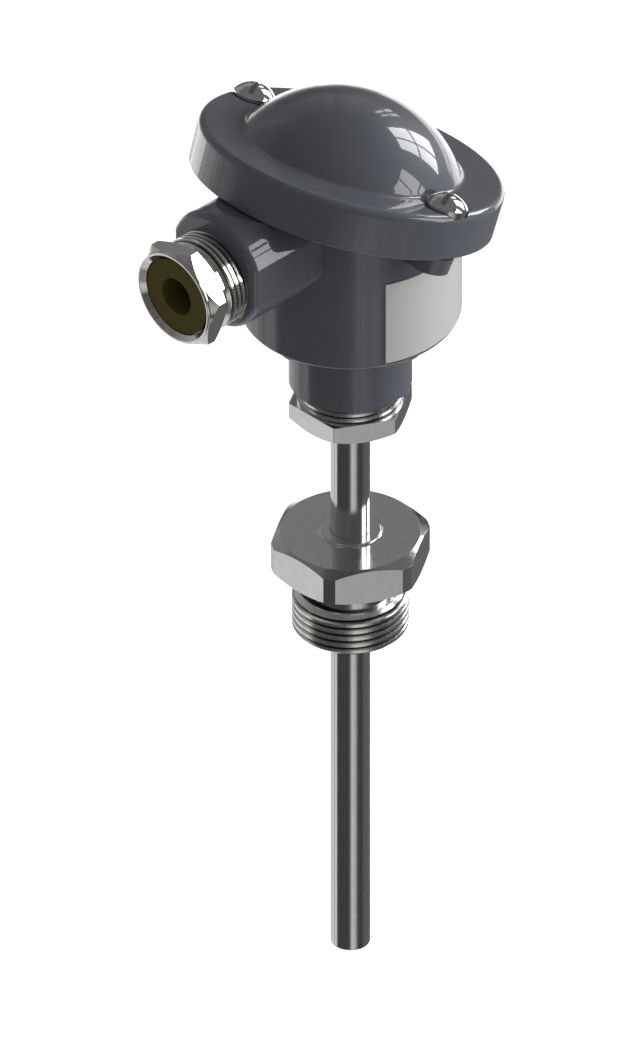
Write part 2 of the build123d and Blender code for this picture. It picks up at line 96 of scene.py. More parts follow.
class Graph:
    """A node tree with one call that adds a node."""

    def __init__(self, tree: bpy.types.NodeTree) -> None:
        """Take over a tree and empty it."""
        self.tree = tree
        tree.nodes.clear()

    def feed(self, socket: Socket, value: object) -> None:
        """Set a socket, or link it to what feeds it.

        Args:
            socket: the input socket.
            value: its value, an output socket, or a node whose first output feeds it.
        """
        if isinstance(value, Node):
            value = value.outputs[0]
        if isinstance(value, Socket):
            self.tree.links.new(value, socket)
        else:
            socket.default_value = value

    def add(self, kind: str, inputs: dict | tuple = (), **settings: object) -> Node:
        """Add a node with its settings and links.

        Args:
            kind: the node's type name.
            inputs: what feed takes, by socket name or index, or in order.
            settings: the node's own properties.

        Returns:
            The new node.
        """
        node = self.tree.nodes.new(kind)
        for key, value in settings.items():
            setattr(node, key, value)
        pairs = inputs.items() if isinstance(inputs, dict) else enumerate(inputs)
        for key, value in pairs:
            self.feed(node.inputs[key], value)
        return node


class Lay(Enum):
    """Which way the tool marks of a metal piece run."""

    NONE = "none"
    TURNED = "rings about the axis"
    DRAWN = "lines along the axis"


@dataclass(frozen=True)
class Axis:
    """Axis that a piece was turned about: a point on it in metres and its direction."""

    point: Spot = (0.0, 0.0, 0.0)
    along: Spot = (0.0, 0.0, 1.0)


class Shade(Graph):
    """Shader graph of one finish, on Object coordinates."""

    def __init__(self, name: str) -> None:
        """Start a material with its Principled shader.

        Args:
            name: the material's name.
        """
        self.material = bpy.data.materials.new(name)
        self.material.use_nodes = True
        super().__init__(self.material.node_tree)
        self.place = self.add("ShaderNodeTexCoord").outputs["Object"]
        self.principled = self.add("ShaderNodeBsdfPrincipled")
        self.add("ShaderNodeOutputMaterial", {"Surface": self.principled})

    def put(self, **values: object) -> None:
        """Set or feed sockets of the Principled shader, with _ for spaces."""
        for key, value in values.items():
            self.feed(self.principled.inputs[key.replace("_", " ")], value)

    def relief(
        self, size: float, detail: float, depth: float, under: Node | None = None, place: Feed | None = None
    ) -> Node:
        """Make a fine uneven relief.

        Args:
            size: metres across one of its grains.
            detail: how much finer noise lies on the grains.
            depth: its depth in metres.
            under: the coarser relief that it lies on.
            place: where the pattern is read, if not at Object coordinates.

        Returns:
            A node that gives the normal.
        """
        grains = {"Vector": place or self.place, "Scale": 1 / size, "Detail": detail}
        height = self.add("ShaderNodeTexNoise", grains)
        values = {"Height": height, "Strength": 1.0, "Distance": depth}
        if under is not None:
            values["Normal"] = under
        return self.add("ShaderNodeBump", values)

    def patches(self, size: float, detail: float, low: float, high: float) -> Node:
        """Make a value that varies in soft patches.

        Args:
            size: metres across a patch.
            detail: how much finer noise lies on the patches.
            low: its usual least value.
            high: its usual greatest value.

        Returns:
            A node that gives the value.
        """
        noise = self.add("ShaderNodeTexNoise", {"Vector": self.place, "Scale": 1 / size, "Detail": detail})
        limits = {"Value": noise, "From Min": 0.3, "From Max": 0.7, "To Min": low, "To Max": high}
        return self.add("ShaderNodeMapRange", limits)

    def tint(self, code: str, share: float, size: float, detail: float = 2.0) -> Socket:
        """Make a colour that varies a little in patches.

        Args:
            code: the hex colour that it varies round.
            share: by what share of it.
            size: metres across a patch.
            detail: how much finer noise lies on the patches.

        Returns:
            The colour.
        """
        low, high = ((*(c * k for c in srgb(code)[:3]), 1.0) for k in (1 - share, 1 + share))
        ends = {0: self.patches(size, detail, 0, 1), 6: low, 7: high}
        return self.add("ShaderNodeMix", ends, data_type="RGBA").outputs[2]

    def about(self, axis: Axis) -> Node:
        """Unroll space about an axis, so that a pattern on it runs in rings.

        Args:
            axis: the Axis.

        Returns:
            A node that gives the distance from the axis and the height along it.
        """
        moved = self.add(VECTOR_MATH, (self.place, axis.point), operation="SUBTRACT")
        height = self.add(VECTOR_MATH, (moved, axis.along), operation="DOT_PRODUCT").outputs["Value"]
        foot = self.add(VECTOR_MATH, {0: axis.along, "Scale": height}, operation="SCALE")
        off = self.add(VECTOR_MATH, (moved, foot), operation="SUBTRACT")
        out = self.add(VECTOR_MATH, (off,), operation="LENGTH").outputs["Value"]
        return self.add("ShaderNodeCombineXYZ", (out, height, 0.0))


@dataclass(frozen=True)
class Enamel:
    """Glossy baked enamel on cast aluminium.

    The eye sees a dark slate under a clear hard film: sharp window
    reflections, softened a little by orange peel and the casting's waviness.
    """

    name: str = "slate_enamel_on_cast_aluminium"
    colour: str = "#575a61"
    roughness: float = 0.42
    unevenness: float = 0.03
    wave_size: float = 9 * MM
    peel_size: float = 1.1 * MM
    peel: float = 0.000003
    cloud_size: float = 14 * MM
    rub_size: float = 3 * MM
    body_gloss: float = 0.2
    film_roughness: float = 0.022
    film_ior: float = 1.5

    def build(self) -> bpy.types.Material:
        """Make the material.

        Returns:
            The material.
        """
        shade = Shade(self.name)
        wave = shade.relief(self.wave_size, 1.0, 3 * self.peel)
        peel = shade.relief(self.peel_size, 1.0, self.peel, wave)
        low, high = self.roughness - self.unevenness, self.roughness + self.unevenness
        shade.put(
            Base_Color=shade.tint(self.colour, self.unevenness, self.cloud_size),
            Roughness=shade.patches(self.rub_size, 2.0, low, high),
            Normal=wave,
            Specular_IOR_Level=self.body_gloss,
            Coat_Weight=1.0,
            Coat_Roughness=self.film_roughness,
            Coat_IOR=self.film_ior,
            Coat_Normal=peel,
        )
        return shade.material


@dataclass(frozen=True)
class Metal:
    """Bare or plated metal.

    The eye sees its colour in what it mirrors, broken up by fine tool marks
    and by a grain, drawn coarse enough to show, that makes light sparkle.
    A cut thread has painted shade down in its grooves.
    """

    name: str
    colour: str
    roughness: float
    lay: Lay = Lay.NONE
    axis: Axis = Axis()
    mark_depth: float = 0.0000006
    ring_width: float = 0.22 * MM
    line_width: float = 0.3 * MM
    line_stretch: Spot = (1, 1, 0.01)
    grain: float = 0.0000008
    grain_size: float = 0.28 * MM
    rub_size: float = 0.8 * MM
    cloud_size: float = 2 * MM
    variation: float = 0.03
    unevenness: float = 0.15
    shaded_grooves: bool = False
    # Colour of the painted shade in a thread's grooves, and the heights up the profile over which it fades
    # out.
    groove_shade_colour: str = "#2b2927"
    groove_shade_end: float = 0.3
    crest_start: float = 0.85

    def build(self) -> bpy.types.Material:
        """Make the material.

        Returns:
            The material.
        """
        shade = Shade(self.name)
        normal = shade.relief(self.grain_size, 1.0, self.grain)
        if self.lay is Lay.TURNED:
            rings = shade.about(self.axis)
            normal = shade.relief(self.ring_width, 2.0, self.mark_depth, normal, rings)
        elif self.lay is Lay.DRAWN:
            lines = shade.add("ShaderNodeMapping", {"Vector": shade.place, "Scale": self.line_stretch})
            normal = shade.relief(self.line_width, 2.0, self.mark_depth, normal, lines)
        colour = shade.tint(self.colour, self.variation, self.cloud_size)
        # Painted shade: a thread's grooves are darkened in its colour.
        if self.shaded_grooves:
            colour = self.painted_groove_shade(shade, colour)
        low, high = self.roughness * (1 - self.unevenness), self.roughness * (1 + self.unevenness)
        shade.put(
            Base_Color=colour,
            Metallic=1.0,
            Roughness=shade.patches(self.rub_size, 3.0, low, high),
            Normal=normal,
        )
        return shade.material

    def painted_groove_shade(self, shade: Shade, colour: Socket) -> Socket:
        """Paint shade into a thread's colour down in its grooves.

        Args:
            shade: the material's graph.
            colour: the crests' colour.

        Returns:
            The colour with painted shade in the grooves, by the thread's own height mark.
        """
        crest = shade.add("ShaderNodeAttribute", attribute_name=CREST_MARK).outputs["Fac"]
        limits = {"Value": crest, "From Min": self.groove_shade_end, "From Max": self.crest_start}
        bright = shade.add("ShaderNodeMapRange", limits)
        ends = {0: bright, 6: srgb(self.groove_shade_colour), 7: colour}
        return shade.add("ShaderNodeMix", ends, data_type="RGBA").outputs[2]


@dataclass(frozen=True)
class Satin:
    """Dull or satin surface: label foil, rubber, ceramic, powder.

    The eye sees the body colour, a soft sheen and a fine tooth.
    """

    name: str
    colour: str
    roughness: float
    tooth: float
    tooth_size: float
    coat: float = 0.0
    coat_roughness: float = 0.08
    variation: float = 0.05
    unevenness: float = 0.15
    gloss: float = 0.5

    def build(self) -> bpy.types.Material:
        """Make the material.

        Returns:
            The material.
        """
        shade = Shade(self.name)
        low, high = self.roughness * (1 - self.unevenness), self.roughness * (1 + self.unevenness)
        shade.put(
            Base_Color=shade.tint(self.colour, self.variation, self.tooth_size, 3.0),
            Roughness=shade.patches(self.tooth_size * 2, 2.0, low, high),
            Normal=shade.relief(self.tooth_size, 3.0, self.tooth),
            Specular_IOR_Level=self.gloss,
            Coat_Weight=self.coat,
            Coat_Roughness=self.coat_roughness,
        )
        return shade.material


# The entry's axis lies this high above the origin. The gland's pieces are
# built along +Z and then laid along -X on that axis.
ENTRY_Z = 112.75
GLAND_AXIS = Axis((0.0, 0.0, ENTRY_Z * MM), (-1.0, 0.0, 0.0))
GLAND_PLACE = Matrix(((0, 0, -1, 0), (1, 0, 0, 0), (0, -1, 0, ENTRY_Z * MM), (0, 0, 0, 1)))


class Look(Enum):
    """The finishes of the probe."""

    ENAMEL = Enamel()
    # Stainless bar from a lathe: bright, with fine rings and a sparkling grain.
    STEEL = Metal("turned_stainless_steel", "#d4d4d4", 0.15, Lay.TURNED, grain=0.0000016)
    # Stainless tube from a drawing die: bright, with lines along it and a coarse grain.
    TUBE = Metal("drawn_stainless_tube", "#d6d6d4", 0.13, Lay.DRAWN, grain=0.0000024)
    # Thread cut in stainless bar: light crests, with painted shade in the grooves.
    THREAD = Metal("cut_thread_stainless_steel", "#e8e5e2", 0.24, grain=0.0000003, shaded_grooves=True)
    # Turned brass under nickel: a slightly warm, clear mirror.
    GLAND = Metal("nickel_plated_brass", "#dad8d4", 0.08, Lay.TURNED, GLAND_AXIS, grain=0.0000004)
    # The gland's cut thread: warm crests, with painted shade in the grooves.
    GLAND_THREAD = Metal("cut_thread_nickel_plated_brass", "#e2e0dc", 0.16, grain=0.0000003, shaded_grooves=True)
    # Chrome plate: the sharpest mirror on the probe.
    CHROME = Metal("chrome_plated_screw", "#dcdcdc", 0.05, grain=0.0000002)
    # Zinc plate: a bluish grey that mirrors dimly.
    ZINC = Metal("zinc_plated_steel", "#b9bcbe", 0.3)
    # Machined brass: a soft yellow mirror.
    BRASS = Metal("terminal_brass", "#c9a85a", 0.26)
    # Drawn nickel wire: a warm grey shine.
    NICKEL = Metal("nickel_lead_wire", "#c2beb4", 0.25)
    # Bare foil: pale, even, with a satin shine.
    LABEL = Satin(
        "bare_label_foil", "#c4c4c3", 0.36, tooth=0.000001, tooth_size=0.35 * MM, coat=0.25, variation=0.02
    )
    # Moulded rubber: dark olive, dull and finely pitted.
    RUBBER = Satin(
        "dark_olive_rubber", "#57502a", 0.85, tooth=0.00003, tooth_size=0.3 * MM, variation=0.6, gloss=0.15
    )
    # Moulded black rubber: near black with a faint shine.
    GASKET = Satin("black_gasket_rubber", "#1b1b1c", 0.62, tooth=0.000012, tooth_size=0.5 * MM)
    # Glazed steatite: ivory under a wet-looking glaze.
    CERAMIC = Satin(
        "glazed_steatite", "#e6e1d4", 0.3, tooth=0.000006, tooth_size=1.2 * MM, coat=0.6, variation=0.03
    )
    # Pressed mineral powder: chalky, without a shine.
    POWDER = Satin("pressed_mineral_powder", "#d9d5cc", 0.9, tooth=0.00003, tooth_size=0.25 * MM)


Looks = dict[Look, bpy.types.Material]

FINISH_OF_NODE = {
    "protection_tube": Look.TUBE,
    "neck_tube": Look.TUBE,
    "head_body": Look.ENAMEL,
    "cover_gasket": Look.GASKET,
    "gland_washer": Look.ZINC,
    "type_label": Look.LABEL,
    "gland_seal": Look.RUBBER,
    "earth_washer": Look.ZINC,
    "earth_screw": Look.ZINC,
    "insert_sheath": Look.TUBE,
    "sheath_powder": Look.POWDER,
    "sensing_element": Look.CERAMIC,
    "insert_flange": Look.ZINC,
    "terminal_block": Look.CERAMIC,
    "terminal_screws": Look.ZINC,
    "spring_screw_front": Look.ZINC,
    "spring_screw_rear": Look.ZINC,
    **{f"terminal_{number}": Look.BRASS for number in range(1, 5)},
    **{f"lead_{number}": Look.NICKEL for number in range(1, 5)},
}


class ThreadNodes(Graph):
    """Geometry Nodes group that wraps a sheared grid into a helical thread.

    The grid's rows follow the helix, so crests and roots stay crisp. Past
    each end the surface lies flat in the end plane and runs in to the core.
    """

    FLOATS = (
        "Major Radius",
        "Depth",
        "Pitch",
        "Low",
        "High",
        "Low Chamfer",
        "High Chamfer",
        "Core Radius",
        "Root Share",
        "Crest Share",
    )
    COUNTS = ("Columns", "Rows per Turn")
    # Turns of the grid past each end, how many depths below the crest the flat
    # end plane starts, and how many metres past an end a point has to be.
    SPARE_TURNS = 2.0
    ROOT_CLEARANCE = 1.02
    PAST_END = 0.000001

    def __init__(self) -> None:
        """Make the group with its named inputs and wire it."""
        group = bpy.data.node_groups.new("helical_thread", "GeometryNodeTree")
        super().__init__(group)
        self.group = group
        for name in self.FLOATS:
            group.interface.new_socket(name, in_out="INPUT", socket_type="NodeSocketFloat")
        for name in self.COUNTS:
            group.interface.new_socket(name, in_out="INPUT", socket_type="NodeSocketInt")
        group.interface.new_socket("Material", in_out="INPUT", socket_type="NodeSocketMaterial")
        group.interface.new_socket("Geometry", in_out="OUTPUT", socket_type="NodeSocketGeometry")
        self.given = self.add("NodeGroupInput").outputs
        self.wire()

    def wire(self) -> None:
        """Lay out the nodes, from the flat grid to the finished thread."""
        low, high = self.given["Low"], self.given["High"]
        grid, around, up = self.grid()
        rise = self.rise(up)
        start = self.add(MATH, (up, self.SPARE_TURNS), operation="SUBTRACT")
        helix = self.add(MATH, (start, around), operation="ADD")
        height = self.add(MATH, (helix, self.given["Pitch"], low), operation="MULTIPLY_ADD")
        radius = self.radius(height, rise)
        raised = self.add(MATH, (height, low), operation="MAXIMUM")
        level = self.add(MATH, (raised, high), operation="MINIMUM")
        turn = self.add(MATH, (around, 2 * math.pi), operation="MULTIPLY")
        cosine = self.add(MATH, (turn,), operation="COSINE")
        sine = self.add(MATH, (turn,), operation="SINE")
        across = self.add(MATH, (radius, cosine), operation="MULTIPLY")
        along = self.add(MATH, (radius, sine), operation="MULTIPLY")
        spot = self.add("ShaderNodeCombineXYZ", (across, along, level))
        marked = {"Geometry": grid, "Name": CREST_MARK, "Value": rise}
        stored = self.add("GeometryNodeStoreNamedAttribute", marked, data_type="FLOAT", domain="POINT")
        placed = self.add("GeometryNodeSetPosition", {0: stored, "Position": spot})
        closed = self.add("GeometryNodeMergeByDistance", {0: placed, "Distance": WELD_DISTANCE})
        real = self.add("GeometryNodeRealizeInstances", (closed,))
        dressed = self.add("GeometryNodeSetMaterial", {0: real, "Material": self.given["Material"]})
        self.add("NodeGroupOutput", (dressed,))

    def grid(self) -> tuple[Node, Node, Node]:
        """Add the flat grid, with spare turns past both ends.

        Returns:
            The grid, and a point's share of a turn and its count of turns.
        """
        span = self.add(MATH, (self.given["High"], self.given["Low"]), operation="SUBTRACT")
        fit = self.add(MATH, (span, self.given["Pitch"]), operation="DIVIDE")
        whole = self.add(MATH, (fit,), operation="CEIL")
        turns = self.add(MATH, (whole, 2 * self.SPARE_TURNS), operation="ADD")
        steps = self.add(MATH, (turns, self.given["Rows per Turn"]), operation="MULTIPLY")
        rows = self.add(MATH, (steps, 1.0), operation="ADD")
        columns = self.add(MATH, (self.given["Columns"], 1.0), operation="ADD")
        sizes = {"Size X": 1.0, "Size Y": 1.0, "Vertices X": columns, "Vertices Y": rows}
        grid = self.add("GeometryNodeMeshGrid", sizes)
        place = self.add("GeometryNodeInputPosition")
        parts = self.add("ShaderNodeSeparateXYZ", (place,)).outputs
        around = self.add(MATH, (parts[0], 0.5), operation="ADD")
        share = self.add(MATH, (parts[1], 0.5), operation="ADD")
        up = self.add(MATH, (share, turns), operation="MULTIPLY")
        return grid, around, up

    def rise(self, up: Node) -> Node:
        """Find how far up the profile a point is.

        Args:
            up: the point's count of turns.

        Returns:
            A node that gives nought at the root and one at the crest.
        """
        part = self.add(MATH, (up,), operation="FRACT")
        swing = self.add(MATH, (part, 2.0, -1.0), operation="MULTIPLY_ADD")
        wave = self.add(MATH, (swing,), operation="ABSOLUTE")
        crest = self.add(MATH, (1.0, self.given["Crest Share"]), operation="SUBTRACT")
        flank = {"Value": wave, "From Min": self.given["Root Share"], "From Max": crest}
        return self.add("ShaderNodeMapRange", flank)

    def radius(self, height: Node, rise: Node) -> Node:
        """Find a point's radius: profile, end chamfers, and past the ends the run-in.

        Args:
            height: its height before it is held between the ends.
            rise: how far up the profile it is.

        Returns:
            A node that gives the radius.
        """
        major, depth, core = (self.given[n] for n in ("Major Radius", "Depth", "Core Radius"))
        fall = self.add(MATH, (1.0, rise), operation="SUBTRACT")
        dip = self.add(MATH, (depth, fall), operation="MULTIPLY")
        profile = self.add(MATH, (major, dip), operation="SUBTRACT")
        above = self.add(MATH, (height, self.given["Low"]), operation="SUBTRACT")
        below = self.add(MATH, (self.given["High"], height), operation="SUBTRACT")
        low_end = self.add(MATH, (major, self.given["Low Chamfer"]), operation="SUBTRACT")
        low_cone = self.add(MATH, (low_end, above), operation="ADD")
        high_end = self.add(MATH, (major, self.given["High Chamfer"]), operation="SUBTRACT")
        high_cone = self.add(MATH, (high_end, below), operation="ADD")
        cones = self.add(MATH, (low_cone, high_cone), operation="MINIMUM")
        shaped = self.add(MATH, (profile, cones), operation="MINIMUM")
        deep = self.add(MATH, (depth, self.ROOT_CLEARANCE), operation="MULTIPLY")
        root = self.add(MATH, (major, deep), operation="SUBTRACT")
        inside = self.add(MATH, (above, below), operation="MINIMUM")
        past = self.add(MATH, (inside, -1.0), operation="MULTIPLY")
        wall = self.add(MATH, (root, core), operation="SUBTRACT")
        reach = self.add(MATH, (wall, past), operation="MULTIPLY")
        run_in = self.add(MATH, (reach, self.given["Pitch"]), operation="DIVIDE")
        sunk = self.add(MATH, (root, run_in), operation="SUBTRACT")
        flat = self.add(MATH, (sunk, core), operation="MAXIMUM")
        lower = self.add(MATH, (flat, shaped), operation="MINIMUM")
        outside = self.add(MATH, (past, self.PAST_END), operation="GREATER_THAN")
        chosen = self.add("ShaderNodeMix", {0: outside, 2: shaped, 3: lower}, data_type="FLOAT")
        return self.add(MATH, (chosen, core), operation="MAXIMUM")


def linked(mesh: bpy.types.Mesh) -> bpy.types.Object:
    """Put a mesh in the scene.

    Args:
        mesh: the mesh.

    Returns:
        A new object of that mesh, with its name.
    """
    made = bpy.data.objects.new(mesh.name, mesh)
    bpy.context.scene.collection.objects.link(made)
    return made


def settled(holder: bpy.types.Object) -> bpy.types.Mesh:
    """Turn an object with modifiers into a plain mesh, and remove the object.

    Args:
        holder: the object.

    Returns:
        The mesh that its modifiers give.
    """
    holder.update_tag()
    bpy.context.view_layer.update()
    graph = bpy.context.evaluated_depsgraph_get()
    made = bpy.data.meshes.new_from_object(holder.evaluated_get(graph))
    holder.modifiers.clear()
    bpy.data.objects.remove(holder)
    return made


@dataclass(frozen=True)
class Thread:
    """One external thread: sizes in millimetres along its own +Z."""

    major_r: float
    pitch: float
    low: float
    high: float
    low_chamfer: float
    high_chamfer: float
    core_r: float
    crest_share: float = 0.43
    root_share: float = 0.0
    depth_share: float = 0.62
    columns: int = 120
    rows: int = 14

    def mesh(self, nodes: ThreadNodes, material: bpy.types.Material) -> bpy.types.Mesh:
        """Run the thread nodes.

        Args:
            nodes: the ThreadNodes to use.
            material: the thread's finish.

        Returns:
            A new mesh with the thread's surface.
        """
        holder = linked(bpy.data.meshes.new("thread_holder"))
        modifier = holder.modifiers.new("thread", "NODES")
        modifier.node_group = nodes.group
        values = {
            "Major Radius": self.major_r * MM,
            "Depth": self.depth_share * self.pitch * MM,
            "Pitch": self.pitch * MM,
            "Low": self.low * MM,
            "High": self.high * MM,
            "Low Chamfer": self.low_chamfer * MM,
            "High Chamfer": self.high_chamfer * MM,
            "Core Radius": self.core_r * MM,
            "Root Share": self.root_share,
            "Crest Share": self.crest_share,
            "Columns": self.columns,
            "Rows per Turn": self.rows,
            "Material": material,
        }
        for socket in nodes.group.interface.items_tree:
            if socket.in_out == "INPUT":
                modifier[socket.identifier] = values[socket.name]
        return settled(holder)


@dataclass(frozen=True)
class Hexagon:
    """Hexagonal part of a turned bar, with turned corners and end chamfers.

    across and the radii are millimetres, turn is the angle of one corner in
    degrees, and a cone is its radius in the end face and its angle.
    """

    across: float
    low: float
    high: float
    corner_r: float
    turn: float
    low_cone: Point | None = None
    high_cone: Point | None = None
    face_steps: int = 14
    corner_steps: int = 3

    def columns(self) -> list[Point]:
        """Lay columns round the hexagon: on its flats and its turned corners.

        Returns:
            The angle in degrees and the hexagon's radius of each column.
        """
        half = math.degrees(math.acos(self.across / 2 / self.corner_r))
        found = []
        for side in range(6):
            middle = self.turn + 30 + 60 * side
            for step in range(self.face_steps):
                off = -half + 2 * half * step / self.face_steps
                found.append((middle + off, self.across / 2 / math.cos(math.radians(off))))
            for step in range(self.corner_steps):
                off = half + (60 - 2 * half) * step / self.corner_steps
                found.append((middle + off, self.corner_r))
        return found

    def points(self, radius: float) -> list[Point]:
        """Draw the hexagon's outline in one column.

        Args:
            radius: the hexagon's radius there.

        Returns:
            Its (radius, height) points, from the low end to the high one.
        """
        low, high = self.low, self.high
        found = []
        if self.low_cone:
            inner, angle = self.low_cone
            found.append((inner, low))
            low += (radius - inner) * math.tan(math.radians(angle))
        found.append((radius, low))
        if self.high_cone:
            inner, angle = self.high_cone
            high -= (radius - inner) * math.tan(math.radians(angle))
        found.append((radius, high))
        if self.high_cone:
            found.append((inner, self.high))
        return found


def wrapped(rings: list[list[Spot]], closed: bool = True) -> Shape:
    """Join columns of points that stand round an axis.

    Args:
        rings: one list of (x, y, z) in metres for each column, all as long.
        closed: whether the last point of a column joins its first.

    Returns:
        Vertices and faces.
    """
    rows = len(rings[0])
    verts = [point for ring in rings for point in ring]
    faces = []
    for column in range(len(rings)):
        here, there = column * rows, (column + 1) % len(rings) * rows
        for row in range(rows if closed else rows - 1):
            up = (row + 1) % rows
            faces.append((here + row, there + row, there + up, here + up))
    return verts, faces


def turned_bar(hexagon: Hexagon, before: list[Point], after: list[Point]) -> Shape:
    """Build a turned bar with one hexagonal part.

    Args:
        hexagon: the Hexagon.
        before: (radius, height) points in millimetres up to the hexagon.
        after: the points after it; the outline closes on its first point.

    Returns:
        Vertices in metres and faces.
    """
    rings = []
    for angle, radius in hexagon.columns():
        across, along = math.cos(math.radians(angle)) * MM, math.sin(math.radians(angle)) * MM
        outline = [*before, *hexagon.points(radius), *after]
        rings.append([(r * across, r * along, z * MM) for r, z in outline])
    return wrapped(rings)


def lathe(outline: list[Point], columns: int) -> Shape:
    """Turn an outline of (radius, height) millimetres, from axis to axis, about +Z.

    Args:
        outline: the points, the first and last of them on the axis.
        columns: how many columns go round.

    Returns:
        Vertices in metres and faces.
    """
    rings = []
    for column in range(columns):
        turn = 2 * math.pi * column / columns
        rings.append([(r * math.cos(turn) * MM, r * math.sin(turn) * MM, z * MM) for r, z in outline])
    return wrapped(rings, closed=False)


def arc(centre: Point, radius: float, start: float, end: float, steps: int) -> list[Point]:
    """Return points on an arc in the (radius, height) plane, ends included.

    Args:
        centre: its centre.
        radius: its radius.
        start: degrees at its first point.
        end: degrees at its last point.
        steps: how many chords it has.

    Returns:
        The points in millimetres.
    """
    turns = [math.radians(start + (end - start) * step / steps) for step in range(steps + 1)]
    return [(centre[0] + radius * math.cos(t), centre[1] + radius * math.sin(t)) for t in turns]


def solid_mesh(name: str, shape: Shape, material: bpy.types.Material, bevel: float = 0.0) -> bpy.types.Mesh:
    """Make a closed mesh with its sharp edges rounded.

    Args:
        name: the mesh's name.
        shape: vertices and faces.
        material: the finish.
        bevel: width in millimetres of the round on sharp edges.

    Returns:
        The mesh.
    """
    mesh = bpy.data.meshes.new(name)
    mesh.from_pydata(shape[0], [], shape[1])
    mesh.materials.append(material)
    merged = bmesh.new()
    merged.from_mesh(mesh)
    bmesh.ops.remove_doubles(merged, verts=merged.verts, dist=WELD_DISTANCE)
    bmesh.ops.recalc_face_normals(merged, faces=merged.faces)
    merged.to_mesh(mesh)
    merged.free()
    return rounded(mesh, bevel) if bevel else mesh


def rounded(mesh: bpy.types.Mesh, width: float, segments: int = 2) -> bpy.types.Mesh:
    """Round the sharp edges of a mesh.

    Args:
        mesh: the mesh.
        width: width of the round in millimetres.
        segments: how many strips of faces it has.

    Returns:
        The mesh with its edges rounded.
    """
    holder = linked(mesh)
    edges = holder.modifiers.new("round", "BEVEL")
    edges.width, edges.segments = width * MM, segments
    edges.limit_method, edges.angle_limit = "ANGLE", math.radians(SHARP_ANGLE)
    return settled(holder)


def carved(mesh: bpy.types.Mesh, cutters: list[bpy.types.Mesh]) -> bpy.types.Mesh:
    """Cut solids out of a mesh.

    Args:
        mesh: the closed mesh to cut.
        cutters: closed meshes, cut out one after another.

    Returns:
        The mesh that is left.
    """
    for cutter in cutters:
        holder, tool = linked(mesh), linked(cutter)
        cut = holder.modifiers.new("cut", "BOOLEAN")
        cut.operation, cut.solver, cut.object = "DIFFERENCE", "EXACT", tool
        mesh = settled(holder)
        bpy.data.objects.remove(tool)
    return mesh


def round_cutter(
    spot: Point, radius: float, low: float, high: float, finish: bpy.types.Material, columns: int = 72
) -> bpy.types.Mesh:
    """Make a round cutter on an axis parallel to Z.

    Args:
        spot: x and y of its axis in millimetres.
        radius: its radius.
        low: height of its lower end.
        high: height of its upper end.
        finish: the finish that the cut leaves.
        columns: how many columns go round.

    Returns:
        The cutter's mesh.
    """
    outline = [(0, low), (radius, low), (radius, high), (0, high)]
    mesh = solid_mesh("cutter", lathe(outline, columns), finish)
    mesh.transform(Matrix.Translation((spot[0] * MM, spot[1] * MM, 0)))
    return mesh


def piece(
    name: str, meshes: list[bpy.types.Mesh], place: Matrix | None = None, crease: float = SHARP_ANGLE
) -> bpy.types.Object:
    """Join meshes into one object at the origin, its place in the mesh.

    The last mesh gets normals weighted by area, so that its flat faces look flat.

    Args:
        name: the object's name.
        meshes: the meshes to join.
        place: a matrix that moves them into the object's frame.
        crease: degrees above which an edge stays sharp.

    Returns:
        The object.
    """
    joined = bmesh.new()
    finishes = []
    for mesh in meshes:
        for finish in mesh.materials:
            if finish not in finishes:
                finishes.append(finish)
        before = len(joined.faces)
        joined.from_mesh(mesh)
        joined.faces.ensure_lookup_table()
        for face in joined.faces[before:]:
            face.material_index = finishes.index(mesh.materials[face.material_index])
    if place is not None:
        bmesh.ops.transform(joined, matrix=place, verts=joined.verts)
    bmesh.ops.recalc_face_normals(joined, faces=joined.faces)
    mesh = bpy.data.meshes.new(name)
    joined.to_mesh(mesh)
    joined.free()
    for finish in finishes:
        mesh.materials.append(finish)
    mesh.shade_smooth()
    mesh.set_sharp_from_angle(angle=math.radians(crease))
    holder = linked(mesh)
    total = len(mesh.vertices)
    group = holder.vertex_groups.new(name="bar")
    group.add(list(range(total - len(meshes[-1].vertices), total)), 1.0, "REPLACE")
    weighted = holder.modifiers.new("flat_faces_stay_flat", "WEIGHTED_NORMAL")
    weighted.keep_sharp, weighted.vertex_group = True, group.name
    mesh = settled(holder)
    mesh.name = name
    made = linked(mesh)
    made.name = name
    return made


class Maker(Protocol):
    """A class that builds one of the pieces."""

    def build(self, looks: Looks, nodes: ThreadNodes) -> bpy.types.Object:
        """Build the piece."""


@dataclass(frozen=True)
class ProcessUnion:
    """Union with its G 3/4 thread, relief, large hexagon and weld ring."""

    bore_r: float = 4.55
    foot: float = 4.3
    relief_r: float = 10.6
    ring_r: float = 7.1
    ring_top: float = 21.0
    weld_spread: float = 0.3
    weld_rise: float = 0.15
    ring_shoulder: float = 0.1
    ring_round: float = 0.4
    bevel: float = 0.05
    hexagon: Hexagon = Hexagon(
        across=33.0,
        low=11.2,
        high=20.5,
        corner_r=18.3,
        turn=30.0,
        low_cone=(15.9, 30.0),
        high_cone=(15.9, 30.0),
    )
    thread: Thread = Thread(
        major_r=13.22,
        pitch=1.814,
        low=-5.3,
        high=5.3,
        low_chamfer=1.0,
        high_chamfer=1.7,
        core_r=4.35,
    )

    def build(self, looks: Looks, nodes: ThreadNodes) -> bpy.types.Object:
        """Build the union.

        Args:
            looks: the finishes.
            nodes: the thread nodes.

        Returns:
            The piece.
        """
        low, high = self.hexagon.low, self.hexagon.high
        before = [(self.bore_r, self.foot), (self.relief_r, self.foot), (self.relief_r, low)]
        after = [
            (self.ring_r + self.weld_spread, high),
            (self.ring_r, high + self.weld_rise),
            (self.ring_r - self.ring_shoulder, self.ring_top - self.ring_shoulder),
            (self.ring_r - self.ring_round, self.ring_top),
            (self.bore_r, self.ring_top),
        ]
        outline = turned_bar(self.hexagon, before, after)
        bar = solid_mesh("union_bar", outline, looks[Look.STEEL], self.bevel)
        return piece("process_union_threaded", [self.thread.mesh(nodes, looks[Look.THREAD]), bar])


